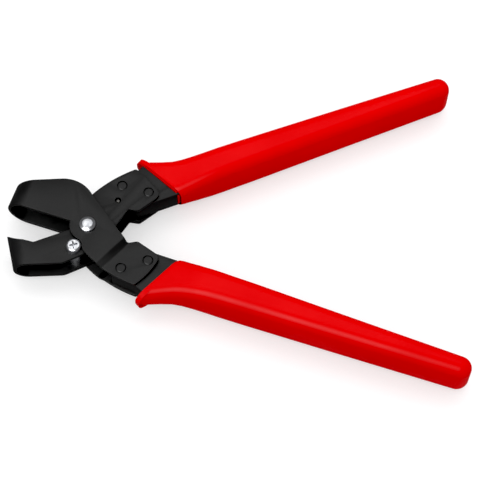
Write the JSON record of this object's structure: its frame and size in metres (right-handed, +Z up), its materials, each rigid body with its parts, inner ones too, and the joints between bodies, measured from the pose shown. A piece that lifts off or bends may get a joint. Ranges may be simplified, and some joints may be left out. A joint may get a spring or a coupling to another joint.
{
  "type": "hand notching pliers",
  "caption": "Hand notching pliers: a U-bent punch jaw closes into a U-bent die jaw, with riveted sprung handles in plastic grips.",
  "frame": {"origin": "on the pivot axis, in the flat underside of the pivot nut, which is the tool's lowest point as it lies on its side", "axes": "+X from the pivot towards the handles along the open tool's mirror line, +Y towards the upper jaw and the upper handle, +Z up, along the pivot axis"},
  "size_m": [0.2374, 0.1742, 0.0255],
  "materials": {
    "blackened_steel": "satin black oxide",
    "zinc_plated_steel": "bright zinc",
    "spring_steel": "oiled spring wire",
    "red_plastic": "glossy"
  },
  "bodies": {
    "die_side": {"outer_jaw": "blackened_steel", "lower_handle_bar": "blackened_steel", "lower_grip": "red_plastic", "lower_front_rivet": "blackened_steel", "lower_rear_rivet": "blackened_steel", "pivot_bolt": "zinc_plated_steel", "pivot_nut": "zinc_plated_steel", "opening_spring": "spring_steel"},
    "punch_side": {"inner_jaw": "blackened_steel", "upper_handle_bar": "blackened_steel", "upper_grip": "red_plastic", "upper_front_rivet": "blackened_steel", "upper_rear_rivet": "blackened_steel", "pivot_bush": "zinc_plated_steel", "stop_screw": "zinc_plated_steel", "stop_screw_spacer": "zinc_plated_steel", "stop_screw_nut": "zinc_plated_steel"}
  },
  "joints": [
    {"name": "jaw_pivot", "type": "hinge", "parent": "die_side", "child": "punch_side", "pos_m": [0, 0, 0.01285], "axis": [0, 0, -1], "range_deg": [0, 38], "stiffness_Nm_per_rad": 0.25, "springref_deg": -20.05, "deforming": ["opening_spring"]}
  ]
}
